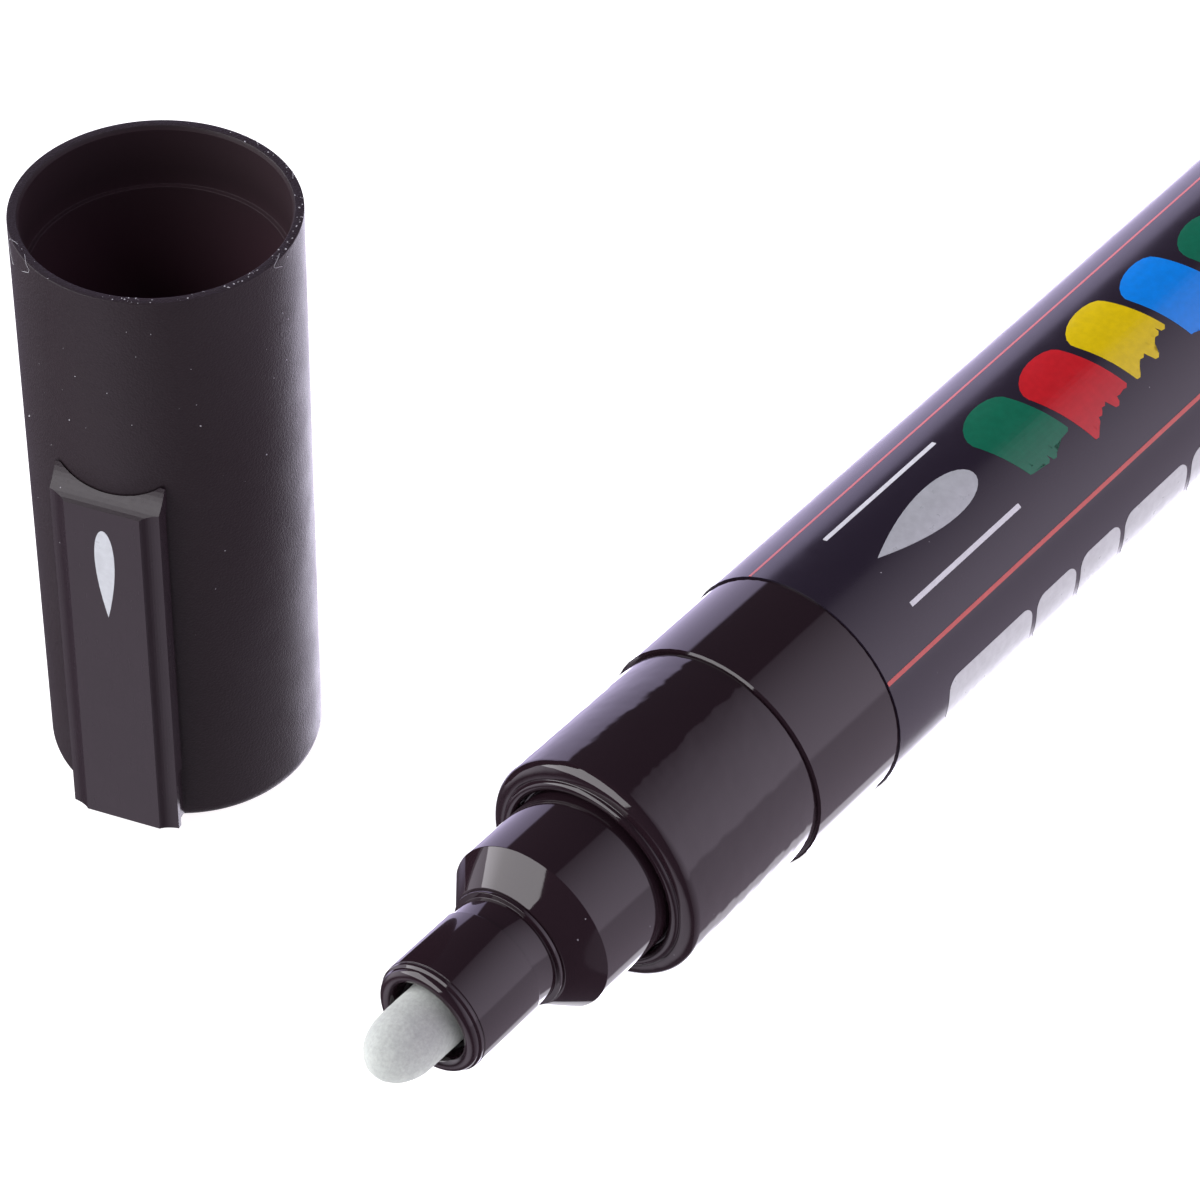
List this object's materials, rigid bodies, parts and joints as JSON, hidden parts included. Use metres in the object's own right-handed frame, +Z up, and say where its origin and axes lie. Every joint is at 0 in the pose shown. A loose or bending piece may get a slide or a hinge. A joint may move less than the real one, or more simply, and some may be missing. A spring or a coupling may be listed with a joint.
{
  "type": "felt tip paint marker",
  "caption": "Felt tip paint marker with a bullet nib, a spring valve and a mixing ball, lying beside its upright clip cap.",
  "frame": {"origin": "centre of the bottom of the box round the lying marker and its standing cap", "axes": "+X along the marker from nib to tail, +Y from the marker to the standing cap, +Z up"},
  "size_m": [0.1372, 0.0476, 0.0399],
  "materials": {
    "gloss_shell": "glossy purple-black moulded plastic",
    "film_print": "satin printed film with coloured paint spots and thin lines",
    "cap_matte": "fine matt mould texture outside, glossy inside",
    "clip_satin": "smooth satin",
    "nib_fibre": "pressed fibre",
    "inner_plastic": "natural",
    "guide_plastic": "grey",
    "spring_wire": "drawn wire",
    "ball_steel": "polished steel"
  },
  "bodies": {
    "marker": {"barrel_tank": "gloss_shell", "label_film": "film_print", "tail_plug": "gloss_shell", "front_collar": "gloss_shell", "nose_holder": "gloss_shell", "mouthpiece": "gloss_shell", "nib_guide": "guide_plastic", "valve_seat": "inner_plastic", "valve_spring": "spring_wire", "valve_cage": "inner_plastic"},
    "nib_unit": {"nib": "nib_fibre", "valve_rod": "inner_plastic"},
    "ball": {"agitator_ball": "ball_steel"},
    "cap": {"cap_shell": "cap_matte", "inner_cap": "gloss_shell"},
    "clip": {"cap_clip": "clip_satin"}
  },
  "joints": [
    {"name": "nib_press", "type": "slide", "parent": "marker", "child": "nib_unit", "axis": [1, 0, 0], "range_m": [0, 0.0015], "stiffness_N_per_m": 350, "springref_m": -0.002, "deforming": ["valve_spring"]},
    {"name": "ball_roll", "type": "slide", "parent": "marker", "child": "ball", "axis": [1, 0, 0], "range_m": [-0.038, 0.034]},
    {"name": "cap_lift", "type": "slide", "parent": "marker", "child": "cap", "axis": [0, 0, 1], "range_m": [0, 0.047]},
    {"name": "clip_flex", "type": "hinge", "parent": "cap", "child": "clip", "pos_m": [-0.05639, 0.01306, 0.0007], "axis": [0.284, -0.9588, 0], "range_deg": [0, 3], "stiffness_Nm_per_rad": 2, "springref_deg": -0.57}
  ]
}
